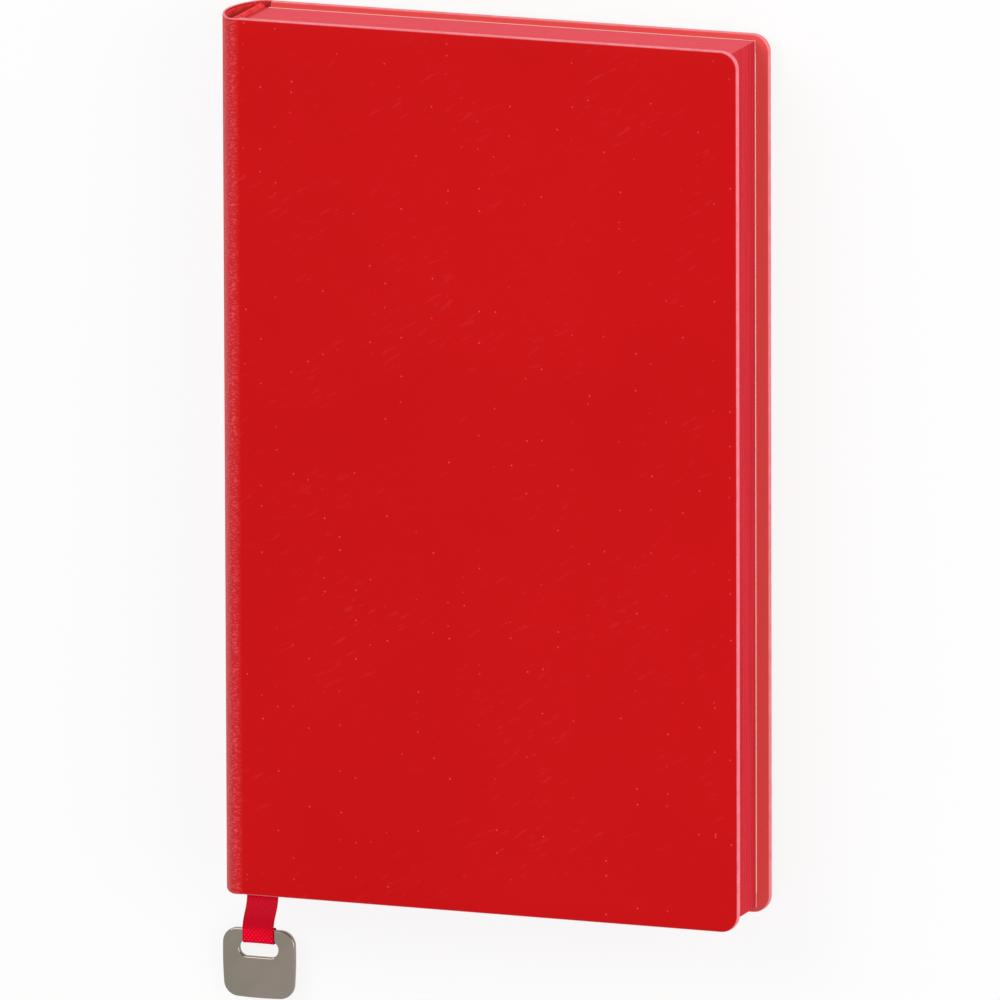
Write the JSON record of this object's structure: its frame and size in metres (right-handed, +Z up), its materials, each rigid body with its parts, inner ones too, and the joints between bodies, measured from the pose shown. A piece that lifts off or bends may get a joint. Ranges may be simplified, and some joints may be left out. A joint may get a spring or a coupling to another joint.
{
  "type": "pocket notebook",
  "caption": "Pocket notebook with a hard leather-covered case, sewn page block, rounded spine, and a ribbon marker that ends in a slotted metal tag.",
  "frame": {"origin": "centre of the back cover's outer face, on which the closed book rests", "axes": "+Z up through the thickness towards the front cover, +X from the spine to the fore-edge, +Y from the tail to the head"},
  "size_m": [0.098, 0.1716, 0.0174],
  "materials": {
    "cover_leather": "smooth red leatherette, satin, fine grain at the spine",
    "board": "grey board, matt",
    "backing_card": "red backing card, fibrous, matt",
    "endpaper": "off-white, matt",
    "page_paper": "cream, matt, with edges dyed red",
    "spine_glue": "clear cream glue",
    "gauze": "open cotton weave",
    "spine_lining": "brown kraft",
    "thread": "waxed linen",
    "headband": "red woven band",
    "ribbon": "crimson woven ribbon, fine diagonal weave",
    "tag_metal": "polished gunmetal with softened edges"
  },
  "bodies": {
    "text_block": {"spine_leather": "cover_leather", "spine_stiffener": "backing_card", "spine_glue": "spine_glue", "spine_gauze": "gauze", "spine_lining": "spine_lining", "headband_head": "headband", "headband_tail": "headband", "sewing_thread": "thread", "bound_margin": "page_paper", "signature_1": "page_paper", "signature_2": "page_paper", "signature_3": "page_paper", "signature_4": "page_paper", "signature_5": "page_paper", "signature_6": "page_paper", "signature_7": "page_paper", "signature_8": "page_paper", "back_flyleaf": "endpaper", "ribbon_marker": "ribbon"},
    "front_cover": {"front_cover_leather": "cover_leather", "front_board": "board", "front_pastedown": "endpaper"},
    "back_cover": {"back_cover_leather": "cover_leather", "back_board": "board", "back_pastedown": "endpaper"},
    "front_flyleaf": {"front_flyleaf": "endpaper"},
    "leaf_group_1": {"leaf_group_1": "page_paper"},
    "leaf_group_2": {"leaf_group_2": "page_paper"},
    "leaf_group_3": {"leaf_group_3": "page_paper"},
    "leaf_group_4": {"leaf_group_4": "page_paper"},
    "leaf_group_5": {"leaf_group_5": "page_paper"},
    "ribbon": {"ribbon_tail": "ribbon"},
    "tag": {"ribbon_loop": "ribbon", "metal_tag": "tag_metal"}
  },
  "joints": [
    {"name": "front_cover_hinge", "type": "hinge", "parent": "text_block", "child": "front_cover", "pos_m": [-0.0435, 0, 0.01742], "axis": [0, -1, 0], "range_deg": [0, 180]},
    {"name": "back_cover_hinge", "type": "hinge", "parent": "text_block", "child": "back_cover", "pos_m": [-0.0435, 0, -0.00005], "axis": [0, 1, 0], "range_deg": [0, 180]},
    {"name": "front_flyleaf_turn", "type": "hinge", "parent": "text_block", "child": "front_flyleaf", "pos_m": [-0.04155, 0, 0.01574], "axis": [0, -1, 0], "range_deg": [0, 115]},
    {"name": "leaf_group_1_turn", "type": "hinge", "parent": "text_block", "child": "leaf_group_1", "pos_m": [-0.04155, 0, 0.01552], "axis": [0, -1, 0], "range_deg": [0, 100]},
    {"name": "leaf_group_2_turn", "type": "hinge", "parent": "text_block", "child": "leaf_group_2", "pos_m": [-0.04155, 0, 0.01527], "axis": [0, -1, 0], "range_deg": [0, 85]},
    {"name": "leaf_group_3_turn", "type": "hinge", "parent": "text_block", "child": "leaf_group_3", "pos_m": [-0.04155, 0, 0.01502], "axis": [0, -1, 0], "range_deg": [0, 70]},
    {"name": "leaf_group_4_turn", "type": "hinge", "parent": "text_block", "child": "leaf_group_4", "pos_m": [-0.04155, 0, 0.01477], "axis": [0, -1, 0], "range_deg": [0, 55]},
    {"name": "leaf_group_5_turn", "type": "hinge", "parent": "text_block", "child": "leaf_group_5", "pos_m": [-0.04155, 0, 0.01452], "axis": [0, -1, 0], "range_deg": [0, 40]},
    {"name": "ribbon_swing", "type": "hinge", "parent": "text_block", "child": "ribbon", "pos_m": [-0.0404, -0.076, 0.0142], "axis": [-1, 0, 0], "range_deg": [-25, 95]},
    {"name": "tag_swing", "type": "hinge", "parent": "ribbon", "child": "tag", "pos_m": [-0.046, -0.0837, 0.0009], "axis": [-1, 0, 0], "range_deg": [-90, 85]}
  ],
  "couplings": [
    {"joint": "front_flyleaf_turn", "follows": "front_cover_hinge", "ratio": 0.63889},
    {"joint": "leaf_group_1_turn", "follows": "front_cover_hinge", "ratio": 0.55556},
    {"joint": "leaf_group_2_turn", "follows": "front_cover_hinge", "ratio": 0.47222},
    {"joint": "leaf_group_3_turn", "follows": "front_cover_hinge", "ratio": 0.38889},
    {"joint": "leaf_group_4_turn", "follows": "front_cover_hinge", "ratio": 0.30556},
    {"joint": "leaf_group_5_turn", "follows": "front_cover_hinge", "ratio": 0.22222}
  ]
}
